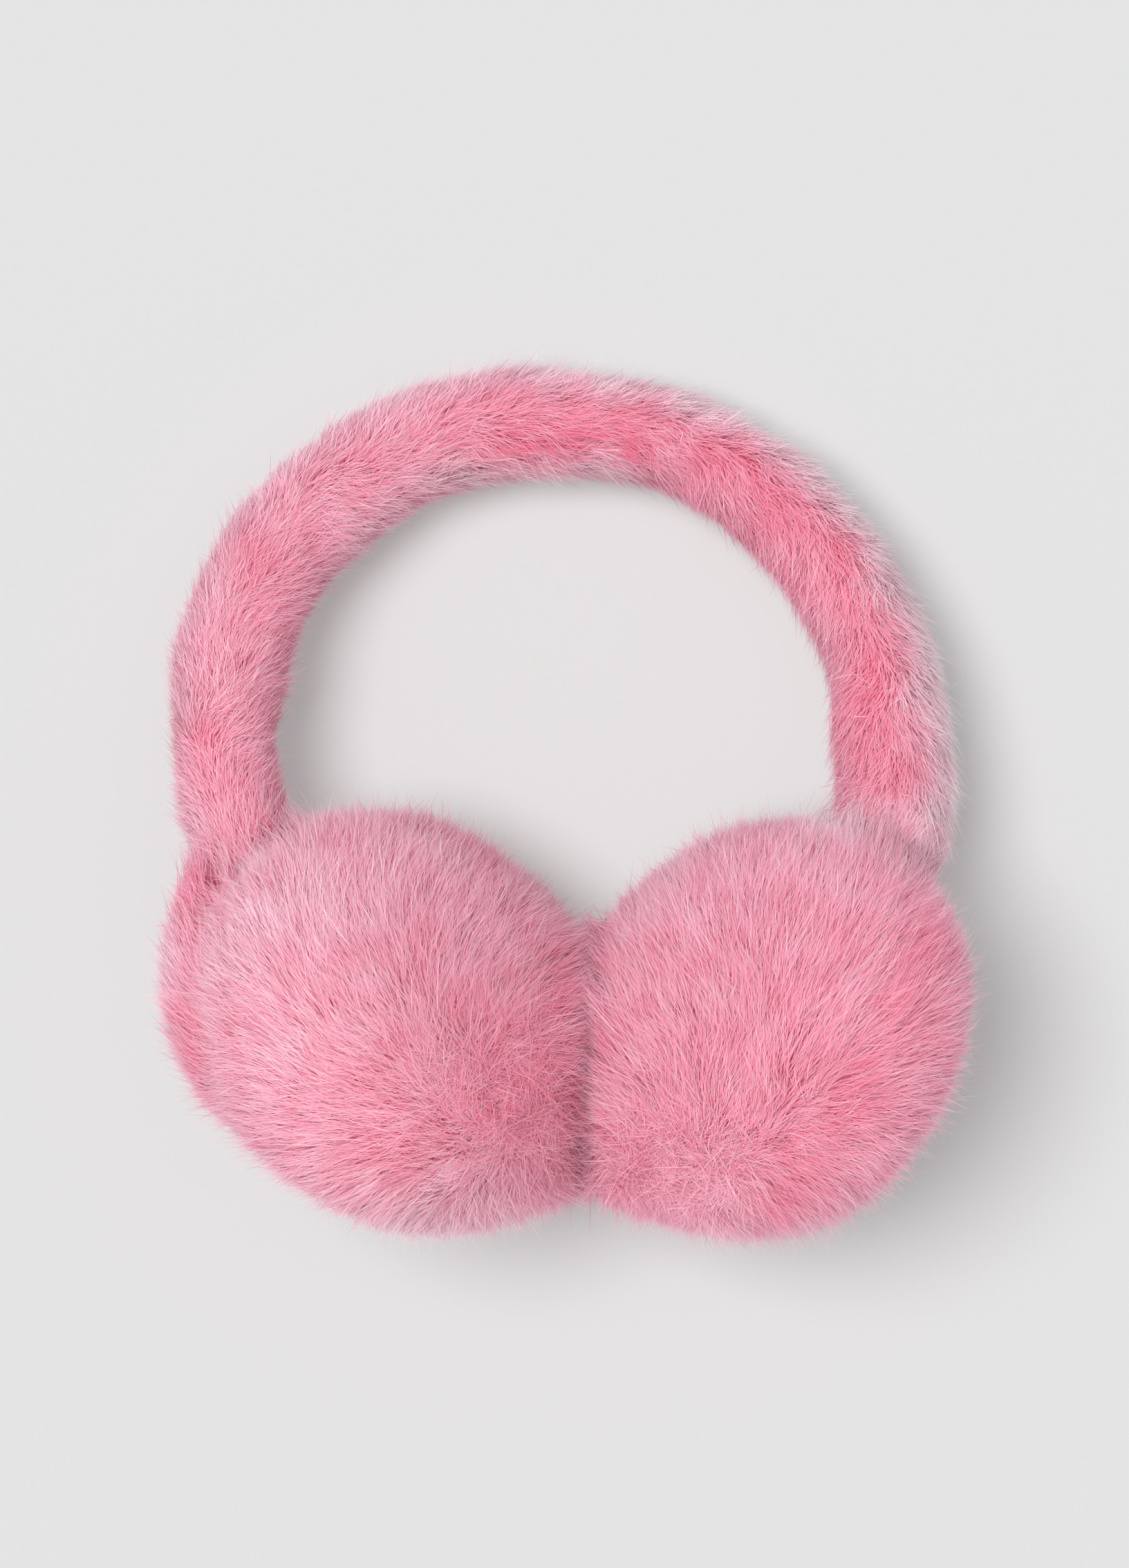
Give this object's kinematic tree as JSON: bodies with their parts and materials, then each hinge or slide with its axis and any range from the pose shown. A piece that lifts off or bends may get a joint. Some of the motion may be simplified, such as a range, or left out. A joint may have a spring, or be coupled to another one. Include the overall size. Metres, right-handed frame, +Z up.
{
  "type": "fur earmuffs",
  "caption": "Fluffy pink fur earmuffs: a plush-covered arched headband joins two thick round ear pads, lying flat with the ear sides turned up.",
  "frame": {"origin": "middle of the underside of the box around the object, on the surface it lies on", "axes": "+Z up from the surface, +Y from the ear pads to the top of the headband's arch, +X across the pads towards the right pad as seen from above"},
  "size_m": [0.1984, 0.2154, 0.0918],
  "materials": {
    "headband_fur": "short pink plush pile, deeper rose at the roots and pale at the tips",
    "cushion_fur": "deep pink faux fur, long soft pile with pale tips",
    "cap_fur": "deep pink faux fur, long soft pile with pale tips"
  },
  "bodies": {
    "root": {"headband": "headband_fur", "left_ear_cushion": "cushion_fur", "left_outer_cap": "cap_fur", "right_ear_cushion": "cushion_fur", "right_outer_cap": "cap_fur"}
  },
  "joints": []
}
